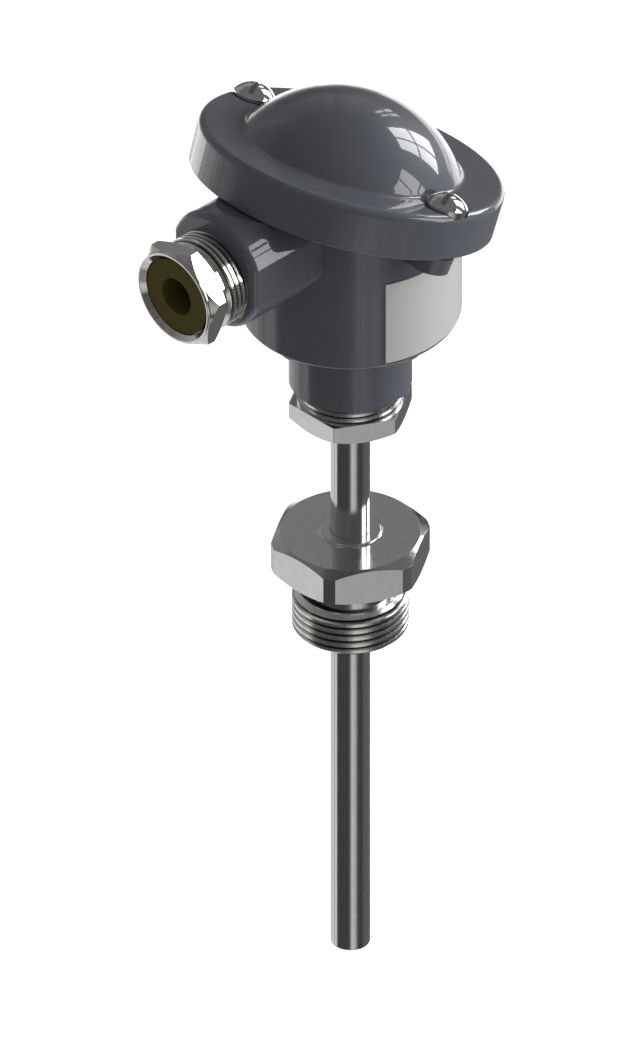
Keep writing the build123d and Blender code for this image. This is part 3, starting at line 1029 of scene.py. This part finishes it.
@dataclass(frozen=True)
class NeckNipple:
    """Neck nipple: small hexagon and M24 x 1.5 thread."""

    bore_r: float = 4.55
    bevel: float = 0.04
    hexagon: Hexagon = Hexagon(
        across=25.0,
        low=53.1,
        high=58.2,
        corner_r=14.4,
        turn=30.0,
        low_cone=(12.4, 30.0),
    )
    thread: Thread = Thread(
        major_r=12.0,
        pitch=1.5,
        low=57.9,
        high=76.2,
        low_chamfer=0.0,
        high_chamfer=0.9,
        core_r=4.55,
        crest_share=0.5,
    )

    def build(self, looks: Looks, nodes: ThreadNodes) -> bpy.types.Object:
        """Build the nipple.

        Args:
            looks: the finishes.
            nodes: the thread nodes.

        Returns:
            The piece.
        """
        before = [(self.bore_r, self.hexagon.low)]
        after = [(self.bore_r, self.hexagon.high)]
        outline = turned_bar(self.hexagon, before, after)
        bar = solid_mesh("nipple_bar", outline, looks[Look.STEEL], self.bevel)
        return piece("neck_nipple_threaded", [self.thread.mesh(nodes, looks[Look.THREAD]), bar])


@dataclass(frozen=True)
class GlandScrew:
    """Pressure screw of the cable entry, about its own axis along -X."""

    bore_r: float = 7.6
    neck_r: float = 10.3
    neck_start: float = 49.6
    neck_overlap: float = 0.6
    mouth_r: float = 9.65
    mouth_edge_r: float = 10.7
    mouth_foot: float = 52.2
    mouth_bevel: float = 1.1
    lip_r: float = 11.4
    lip_end: float = 56.6
    lip_step: float = 0.05
    lip_round: float = 0.25
    bevel: float = 0.06
    hexagon: Hexagon = Hexagon(
        across=22.6,
        low=51.2,
        high=56.0,
        corner_r=13.05,
        turn=14.3,
        low_cone=(11.25, 33.0),
        high_cone=(11.25, 42.0),
    )
    thread: Thread = Thread(
        major_r=11.25,
        pitch=1.411,
        low=31.6,
        high=49.6,
        low_chamfer=0.8,
        high_chamfer=0.95,
        core_r=7.6,
    )

    def build(self, looks: Looks, nodes: ThreadNodes) -> bpy.types.Object:
        """Build the pressure screw.

        Args:
            looks: the finishes.
            nodes: the thread nodes.

        Returns:
            The piece.
        """
        start = self.neck_start - self.neck_overlap
        before = [(self.bore_r, start), (self.neck_r, start), (self.neck_r, self.hexagon.low)]
        after = [
            (self.lip_r, self.hexagon.high - self.lip_step),
            (self.lip_r, self.lip_end - self.lip_round),
            (self.lip_r - self.lip_round, self.lip_end),
            (self.mouth_edge_r, self.lip_end),
            (self.mouth_r, self.lip_end - self.mouth_bevel),
            (self.mouth_r, self.mouth_foot),
            (self.bore_r, self.mouth_foot),
        ]
        outline = turned_bar(self.hexagon, before, after)
        bar = solid_mesh("gland_bar", outline, looks[Look.GLAND], self.bevel)
        thread = self.thread.mesh(nodes, looks[Look.GLAND_THREAD])
        return piece("gland_screw_threaded", [thread, bar], GLAND_PLACE)


# The plate's top face crosses the probe's axis at this height, and leans
# down towards +X. The lid's pieces are built level and then laid on it.
LID_TILT = math.radians(20.7)
LID_Z = 125.15
LID_PLACE = Matrix.Translation((0, 0, LID_Z * MM)) @ Matrix.Rotation(LID_TILT, 4, "Y")
LID_SCREW_OFFSET = 30.7
LID_CREASE = 28.0


@dataclass(frozen=True)
class HeadLid:
    """Tilted cast lid: skirt, plate, dome, rib and two screw seats.

    Heights are along the lid's own axis from the plate's top face. The rim
    and the dome share an axis that lies a little down the slope.
    """

    offset: float = 0.9
    radius: float = 35.8
    draft: float = 0.25
    skirt: float = 10.9
    skirt_wall: float = 2.3
    skirt_edge: float = 0.35
    plate: float = 3.2
    edge_round: float = 1.8
    dome_r: float = 30.2
    dome_height: float = 14.04
    foot_round: float = 1.8
    dome_wall: float = 2.6
    rib_r: float = 25.9
    rib_wall: float = 1.6
    rib_height: float = 1.5
    pocket_r: float = 6.3
    pocket_depth: float = 0.04
    seat_r: float = 5.2
    seat_depth: float = 1.0
    hole_r: float = 2.56
    columns: int = 240
    dome_steps: int = 40
    foot_steps: int = 8
    edge_steps: int = 10
    skirt_edge_steps: int = 4
    inner_steps: int = 24

    def outline(self) -> list[Point]:
        """Draw the lid's outline from the dome's top round to its inside.

        Returns:
            The (radius, height) points in millimetres.
        """
        centre = self.dome_height - self.dome_r
        foot = math.sqrt((self.dome_r + self.foot_round) ** 2 - (self.foot_round - centre) ** 2)
        slope = math.degrees(math.atan2(self.foot_round - centre, foot))
        ball = self.dome_r - self.dome_wall
        inner = math.degrees(math.asin((-self.plate - centre) / ball))
        rim = self.radius - self.edge_round
        lip = (self.radius - self.draft - self.skirt_edge, self.skirt_edge - self.skirt)
        wall = self.radius - self.skirt_wall
        rib_foot = -self.plate - self.rib_height
        return [
            (0, self.dome_height),
            *arc((0, centre), self.dome_r, 90, slope, self.dome_steps)[1:],
            *arc((foot, self.foot_round), self.foot_round, slope + 180, 270, self.foot_steps)[1:],
            *arc((rim, -self.edge_round), self.edge_round, 90, 0, self.edge_steps),
            *arc(lip, self.skirt_edge, 0, -90, self.skirt_edge_steps),
            (wall, -self.skirt),
            (wall, -self.plate),
            (self.rib_r, -self.plate),
            (self.rib_r, rib_foot),
            (self.rib_r - self.rib_wall, rib_foot),
            (self.rib_r - self.rib_wall, -self.plate),
            *arc((0, centre), ball, inner, 90, self.inner_steps)[:-1],
            (0, self.dome_height - self.dome_wall),
        ]

    def build(self, looks: Looks, nodes: ThreadNodes) -> bpy.types.Object:
        """Build the lid.

        Args:
            looks: the finishes.
            nodes: the thread nodes, which the lid doesn't need.

        Returns:
            The piece.
        """
        enamel = looks[Look.ENAMEL]
        body = solid_mesh("lid_body", lathe(self.outline(), self.columns), enamel)
        body.transform(Matrix.Translation((self.offset * MM, 0, 0)))
        cuts = (
            (self.pocket_r, -self.pocket_depth, 2 * self.dome_height),
            (self.seat_r, -self.seat_depth, self.dome_height),
            (self.hole_r, -2 * self.plate, self.dome_height),
        )
        cutters = []
        for side, (radius, low, high) in product((-1, 1), cuts):
            cutters.append(round_cutter((0, side * LID_SCREW_OFFSET), radius, low, high, enamel))
        return piece("head_lid_cast", [carved(body, cutters)], LID_PLACE, LID_CREASE)


@dataclass(frozen=True)
class LidScrew:
    """Chrome lid screw with a domed and slotted head; side is -1 or 1 along Y."""

    side: int
    label: str
    head_r: float = 4.9
    height: float = 4.2
    edge: float = 1.7
    foot_edge: float = 0.1
    shank_r: float = 2.5
    length: float = 13.0
    chamfer: float = 0.6
    slot: float = 1.2
    slot_depth: float = 1.6
    slot_turn: float = 24.0
    slot_clear: float = 1.0
    slot_round: float = 0.08
    columns: int = 96
    crown_steps: int = 16

    def outline(self) -> list[Point]:
        """Draw the screw's outline from its tip to the top of its head.

        Returns:
            The (radius, height) points in millimetres.
        """
        rise = self.height - self.edge
        crown_r = (self.head_r**2 + rise**2) / (2 * rise)
        start = math.degrees(math.asin((self.edge - self.height + crown_r) / crown_r))
        crown = arc((0, self.height - crown_r), crown_r, start, 90, self.crown_steps)[:-1]
        tip = [(0, -self.length), (self.shank_r - self.chamfer, -self.length)]
        shank = [(self.shank_r, self.chamfer - self.length), (self.shank_r, 0)]
        foot = [(self.head_r - self.foot_edge, 0), (self.head_r, self.foot_edge)]
        return [*tip, *shank, *foot, *crown, (0, self.height)]

    def slot_cutter(self, finish: bpy.types.Material) -> bpy.types.Mesh:
        """Make the block that cuts the slot.

        Args:
            finish: the finish that the cut leaves.

        Returns:
            The cutter's mesh.
        """
        wide, half = 2 * self.head_r, self.slot / 2
        low, high = self.height - self.slot_depth, self.height + self.slot_clear
        spans = ((-wide, wide), (-half, half), (low, high))
        corners = [(x * MM, y * MM, z * MM) for x, y, z in product(*spans)]
        sides = [(0, 1, 3, 2), (4, 6, 7, 5), (0, 4, 5, 1), (2, 3, 7, 6), (0, 2, 6, 4), (1, 5, 7, 3)]
        cutter = solid_mesh("slot_cutter", (corners, sides), finish)
        cutter.transform(Matrix.Rotation(math.radians(self.slot_turn), 4, "Z"))
        return cutter

    def build(self, looks: Looks, nodes: ThreadNodes) -> bpy.types.Object:
        """Build the screw.

        Args:
            looks: the finishes.
            nodes: the thread nodes, which its smooth shank doesn't need.

        Returns:
            The piece.
        """
        chrome = looks[Look.CHROME]
        body = solid_mesh("screw_body", lathe(self.outline(), self.columns), chrome)
        cut = rounded(carved(body, [self.slot_cutter(chrome)]), self.slot_round)
        seat = Matrix.Translation((0, self.side * LID_SCREW_OFFSET * MM, -HeadLid.seat_depth * MM))
        return piece(self.label, [cut], LID_PLACE @ seat, LID_CREASE)


@dataclass(frozen=True)
class InsertSpring:
    """Coil spring that the insert's plate presses together as it slides up."""

    node: str
    joint: str = "insert_travel"
    travel: float = 6.0
    weld_distance: float = 0.000001
    crease: float = 62.0

    def build(self, looks: Looks, nodes: ThreadNodes) -> bpy.types.Object:
        """Build the spring as a clean copy of the solid one.

        Args:
            looks: the finishes.
            nodes: the thread nodes, which a spring doesn't need.

        Returns:
            The piece.
        """
        merged = bmesh.new()
        merged.from_mesh(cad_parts[self.node].data)
        bmesh.ops.remove_doubles(merged, verts=merged.verts, dist=self.weld_distance)
        bmesh.ops.recalc_face_normals(merged, faces=merged.faces)
        mesh = bpy.data.meshes.new(f"{self.node}_wire")
        merged.to_mesh(mesh)
        merged.free()
        mesh.materials.append(looks[Look.ZINC])
        mesh.shade_smooth()
        mesh.set_sharp_from_angle(angle=math.radians(self.crease))
        return linked(mesh)

    def shorten(self, made: bpy.types.Object) -> None:
        """Give the piece a mesh of its own.

        Args:
            made: the piece.
        """
        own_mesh(made)


@dataclass(frozen=True)
class Pane:
    """A bright window seen from the object, in degrees round and up."""

    west: float
    east: float
    low: float
    high: float
    light: float
    barred: bool = True


@dataclass(frozen=True)
class Band:
    """Greys round the room, and the degrees of height over which they fade in."""

    start: float
    full: float
    greys: tuple[tuple[int, int], ...]


# The room's greys, from the lowest band up: degrees round the room and a level
# from 0 to 255.
ROOM = (
    Band(-64, -54, (
        (0, 108), (27, 100), (38, 190), (45, 255), (60, 255), (74, 205), (92, 218), (106, 240),
        (115, 205), (127, 215), (138, 243), (144, 76), (200, 68), (214, 76), (224, 105), (234, 222),
        (256, 196), (264, 128), (272, 72), (291, 70), (306, 95), (345, 108),
    )),
    Band(-30, -24, (
        (0, 200), (8, 255), (106, 255), (116, 218), (137, 218), (143, 80), (200, 72), (207, 93),
        (218, 191), (234, 231), (253, 180), (266, 147), (278, 89), (291, 85), (306, 115), (350, 130),
    )),
    Band(-12, -4, (
        (0, 110), (20, 76), (60, 90), (80, 142), (110, 176), (150, 112), (230, 90), (300, 96), (359, 110),
    )),
    Band(8, 18, (
        (0, 138), (45, 163), (60, 150), (110, 150), (150, 112), (230, 90), (300, 96), (359, 138),
    )),
    Band(30, 46, ((0, 112),)),
)


@dataclass(frozen=True)
class Surroundings:
    """What the enamel and the metal mirror: a room with windows.

    Below the horizon stand light and dark walls, above it a dark ceiling.
    The room is seen by reflections only. A level of grey is as the eye reads it.
    """

    radius: float = 9.0
    floor: int = 225
    bands: tuple[Band, ...] = ROOM
    panes: tuple[Pane, ...] = (
        Pane(west=-62, east=-36, low=1, high=38, light=5.0),
        Pane(west=-15, east=7, low=4, high=37, light=9.0),
        Pane(west=17, east=23.5, low=14, high=30, light=3.0),
        Pane(west=-2, east=95, low=-29, high=-13, light=1.1, barred=False),
        Pane(west=0, east=36, low=-11.5, high=-7.5, light=1.2, barred=False),
    )
    pane_blur: float = 0.6
    half_bar: float = 0.9
    bar_blur: float = 0.3
    streak: float = 0.5
    streak_scale: float = 0.24
    streak_stretch: float = 0.02

    def ramp(self, shade: Graph, share: Node, greys: tuple[tuple[int, int], ...]) -> Node:
        """Colour a wall that runs all the way round.

        Args:
            shade: the room's graph.
            share: the share of the way round.
            greys: the wall's greys.

        Returns:
            A node that gives the colour.
        """
        node = shade.add("ShaderNodeValToRGB", (share,))
        elements = node.color_ramp.elements
        if len(greys) == 1:
            elements.remove(elements[1])
        while len(elements) < len(greys):
            elements.new(0.5)
        for element, (degrees, _) in zip(elements, greys):
            element.position = degrees / 360
        for element, (_, level) in zip(elements, greys):
            element.color = srgb(f"#{level:02x}{level:02x}{level:02x}")
        return node

    def between(self, shade: Graph, value: Node, low: float, high: float, soft: float) -> Node:
        """Mark a range with soft ends.

        Args:
            shade: the room's graph.
            value: the value to test.
            low: where the range starts.
            high: where it ends.
            soft: over how much it fades in and out.

        Returns:
            A node that gives one inside the range and nought outside.
        """
        over = shade.add(MATH, (value, low), operation="SUBTRACT")
        into = shade.add(MATH, (over, soft), operation="DIVIDE", use_clamp=True)
        under = shade.add(MATH, (high, value), operation="SUBTRACT")
        out = shade.add(MATH, (under, soft), operation="DIVIDE", use_clamp=True)
        return shade.add(MATH, (into, out), operation="MULTIPLY")

    def window(self, shade: Graph, turn: Node, rise: Node, pane: Pane) -> Node:
        """Light one window, with its glazing bars where it has them.

        Args:
            shade: the room's graph.
            turn: degrees round the room.
            rise: degrees up.
            pane: the window.

        Returns:
            A node that gives its light.
        """
        off = shade.add(MATH, (turn, (pane.west + pane.east) / 2), operation="SUBTRACT")
        around = shade.add(MATH, (off, 180.0, -180.0), operation="WRAP")
        half = (pane.east - pane.west) / 2
        wide = self.between(shade, around, -half, half, self.pane_blur)
        tall = self.between(shade, rise, pane.low, pane.high, self.pane_blur)
        lit = shade.add(MATH, (wide, tall), operation="MULTIPLY")
        if pane.barred:
            centre = (pane.low + pane.high) / 2
            low, high = centre - self.half_bar, centre + self.half_bar
            upright = self.between(shade, around, -self.half_bar, self.half_bar, self.bar_blur)
            across = self.between(shade, rise, low, high, self.bar_blur)
            bars = shade.add(MATH, (upright, across), operation="MAXIMUM")
            clear = shade.add(MATH, (1.0, bars), operation="SUBTRACT")
            lit = shade.add(MATH, (lit, clear), operation="MULTIPLY")
        return shade.add(MATH, (lit, pane.light), operation="MULTIPLY")

    def walls(self, shade: Graph, turn: Node, rise: Node) -> Node:
        """Make the glow of floor, walls and ceiling, with upright streaks.

        Args:
            shade: the room's graph.
            turn: degrees round the room.
            rise: degrees up.

        Returns:
            The glow's shader.
        """
        part = shade.add(MATH, (turn, 360.0), operation="DIVIDE")
        positive = shade.add(MATH, (part, 1.0), operation="ADD")
        share = shade.add(MATH, (positive,), operation="FRACT")
        room = self.ramp(shade, share, ((0, self.floor),))
        for band in self.bands:
            step = shade.add(MATH, (rise, band.start), operation="SUBTRACT")
            climb = shade.add(MATH, (step, band.full - band.start), operation="DIVIDE", use_clamp=True)
            layers = {0: climb, 6: room, 7: self.ramp(shade, share, band.greys)}
            room = shade.add("ShaderNodeMix", layers, data_type="RGBA").outputs[2]
        upright = shade.add(MATH, (rise, self.streak_stretch), operation="MULTIPLY")
        spot = shade.add("ShaderNodeCombineXYZ", (turn, upright))
        pattern = {"Vector": spot, "Scale": self.streak_scale, "Detail": 3.0}
        stripes = shade.add("ShaderNodeTexNoise", pattern)
        level = {"Value": stripes, "To Min": 1 - 2 * self.streak, "To Max": 1 + 2 * self.streak}
        strength = shade.add("ShaderNodeMapRange", level)
        return shade.add("ShaderNodeEmission", {"Color": room, "Strength": strength})

    def finish(self) -> bpy.types.Material:
        """Make the room's material.

        Returns:
            The material.
        """
        material = bpy.data.materials.new("room_seen_in_reflections")
        material.use_nodes = True
        shade = Graph(material.node_tree)
        spot = shade.add("ShaderNodeTexCoord").outputs["Object"]
        place = shade.add(VECTOR_MATH, (spot,), operation="NORMALIZE")
        parts = shade.add("ShaderNodeSeparateXYZ", (place,)).outputs
        radians = shade.add(MATH, (parts[1], parts[0]), operation="ARCTAN2")
        turn = shade.add(MATH, (radians,), operation="DEGREES")
        slope = shade.add(MATH, (parts[2],), operation="ARCSINE")
        rise = shade.add(MATH, (slope,), operation="DEGREES")
        light = 0.0
        for pane in self.panes:
            light = shade.add(MATH, (self.window(shade, turn, rise, pane), light), operation="ADD")
        glass = shade.add("ShaderNodeEmission", {"Color": WHITE, "Strength": light})
        both = shade.add("ShaderNodeAddShader", (self.walls(shade, turn, rise), glass))
        shade.add("ShaderNodeOutputMaterial", {"Surface": both})
        material.cycles.emission_sampling = "NONE"
        return material

    def build(self) -> None:
        """Make the sphere that only reflections see."""
        bpy.ops.mesh.primitive_uv_sphere_add(segments=64, ring_count=32, radius=self.radius)
        dome = bpy.context.object
        dome.name = "surroundings"
        dome.data.shade_smooth()
        dome.data.materials.append(self.finish())
        dome.visible_camera = dome.visible_diffuse = dome.visible_shadow = False
        dome.visible_transmission = dome.visible_volume_scatter = False


@dataclass(frozen=True)
class Studio:
    """Camera, floor, world and lamp, in metres."""

    aim: Spot = (1.544 * MM, 13.292 * MM, 14.836 * MM)
    back: Spot = (-1.0, -1.0, 1.0)
    distance: float = 0.8
    clip: Point = (0.01, 10.0)
    frame_height: float = 236.34 * MM
    floor_z: float = -200 * MM
    floor_size: float = 12.0
    floor_colour: str = "#f4f4f4"
    floor_glow: float = 0.8
    world_light: float = 0.35
    key_power: float = 8.4
    key_size: float = 0.6
    key_place: Spot = (0.72, -0.60, 0.38)
    key_aim: Spot = (0, 0, 0.05)

    def build(self) -> None:
        """Make everything that is not the object."""
        self.camera()
        self.floor()
        self.world()
        self.lamp()
        Surroundings().build()
        bpy.context.scene.view_settings.view_transform = "Standard"

    def turned(self, data: bpy.types.ID, place: Vector, aim: Vector) -> bpy.types.Object:
        """Place a camera or a lamp so that it looks at a point.

        Args:
            data: the camera or lamp.
            place: where it stands.
            aim: what it looks at.

        Returns:
            Its object.
        """
        made = bpy.data.objects.new(data.name, data)
        bpy.context.scene.collection.objects.link(made)
        made.location = place
        made.rotation_mode = "QUATERNION"
        made.rotation_quaternion = (aim - place).to_track_quat("-Z", "Y")
        return made

    def camera(self) -> None:
        """Isometric view, as in the photograph."""
        camera = bpy.data.cameras.new("camera")
        camera.type = "ORTHO"
        camera.ortho_scale = self.frame_height
        camera.clip_start, camera.clip_end = self.clip
        aim = Vector(self.aim)
        place = aim + Vector(self.back).normalized() * self.distance
        bpy.context.scene.camera = self.turned(camera, place, aim)

    def floor(self) -> None:
        """Pale floor, white to the camera, that keeps a soft shadow."""
        bpy.ops.mesh.primitive_plane_add(size=self.floor_size, location=(0, 0, self.floor_z))
        floor = bpy.context.object
        floor.name = "floor"
        material = bpy.data.materials.new("pale_floor")
        material.use_nodes = True
        shade = Graph(material.node_tree)
        path = shade.add("ShaderNodeLightPath").outputs
        matt = shade.add("ShaderNodeBsdfDiffuse", {"Color": srgb(self.floor_colour)})
        seen = shade.add(MATH, (path["Is Camera Ray"], self.floor_glow), operation="MULTIPLY")
        glow = shade.add("ShaderNodeEmission", {"Color": WHITE, "Strength": seen})
        both = shade.add("ShaderNodeAddShader", (matt, glow))
        shade.add("ShaderNodeOutputMaterial", {"Surface": both})
        material.cycles.emission_sampling = "NONE"
        floor.data.materials.append(material)
        floor.visible_glossy = False

    def world(self) -> None:
        """White to the camera and in reflections, soft light otherwise."""
        world = bpy.data.worlds.new("soft_white")
        bpy.context.scene.world = world
        world.use_nodes = True
        shade = Graph(world.node_tree)
        path = shade.add("ShaderNodeLightPath").outputs
        mirrored = shade.add(MATH, (path["Is Camera Ray"], path["Is Glossy Ray"]), operation="MAXIMUM")
        seen = shade.add(MATH, (mirrored, path["Is Transmission Ray"]), operation="MAXIMUM")
        light = shade.add("ShaderNodeBackground", {"Color": WHITE, "Strength": self.world_light})
        white = shade.add("ShaderNodeBackground", {"Color": WHITE, "Strength": 1.0})
        mixed = shade.add("ShaderNodeMixShader", (seen, light, white))
        shade.add("ShaderNodeOutputWorld", {"Surface": mixed})

    def lamp(self) -> None:
        """One large soft lamp, low on the right of the camera."""
        lamp = bpy.data.lights.new("key", "AREA")
        lamp.shape, lamp.size, lamp.energy = "DISK", self.key_size, self.key_power
        made = self.turned(lamp, Vector(self.key_place), Vector(self.key_aim))
        made.visible_glossy = False


@dataclass(frozen=True)
class Replacement:
    """A built piece, the CAD node it stands for, its body and its slot."""

    maker: Maker
    node: str
    body: str
    slot: str

    def install(self, looks: Looks, nodes: ThreadNodes) -> None:
        """Build the piece and put it in its node's place.

        Args:
            looks: the finishes.
            nodes: the thread nodes.
        """
        made = self.maker.build(looks, nodes)
        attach(made, self.body)
        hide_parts(self.node)
        if isinstance(self.maker, InsertSpring):
            self.maker.shorten(made)
        log.info("%s: %d faces, for %s", made.name, len(made.data.polygons), self.node)


REPLACEMENTS = (
    Replacement(ProcessUnion(), "process_union", "housing", "turned_steel"),
    Replacement(NeckNipple(), "neck_nipple", "housing", "turned_steel"),
    Replacement(GlandScrew(), "gland_screw", "gland_screw", "turned_steel"),
    Replacement(HeadLid(), "head_lid", "lid", "head_paint"),
    *(
        Replacement(LidScrew(side, f"{screw}_chrome"), screw, screw, "screw_chrome")
        for side, screw in ((-1, "lid_screw_front"), (1, "lid_screw_rear"))
    ),
    *(
        Replacement(InsertSpring(spring), spring, "housing", "plated_steel")
        for spring in ("insert_spring_front", "insert_spring_rear")
    ),
)


def dress_nodes(looks: Looks) -> None:
    """Give the carried-over CAD nodes their finishes.

    Args:
        looks: the finishes.
    """
    for name, look in FINISH_OF_NODE.items():
        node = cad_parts[name]
        node.data.materials.clear()
        node.data.materials.append(looks[look])
        log.info("%s: %s", name, look.value.name)


def main() -> None:
    """Build the looks and report each piece."""
    logging.basicConfig(level=logging.INFO, format="%(message)s")
    looks = {look: look.value.build() for look in Look}
    dress_nodes(looks)
    nodes = ThreadNodes()
    for entry in REPLACEMENTS:
        entry.install(looks, nodes)
    Studio().build()


if __name__ == "__main__":
    main()
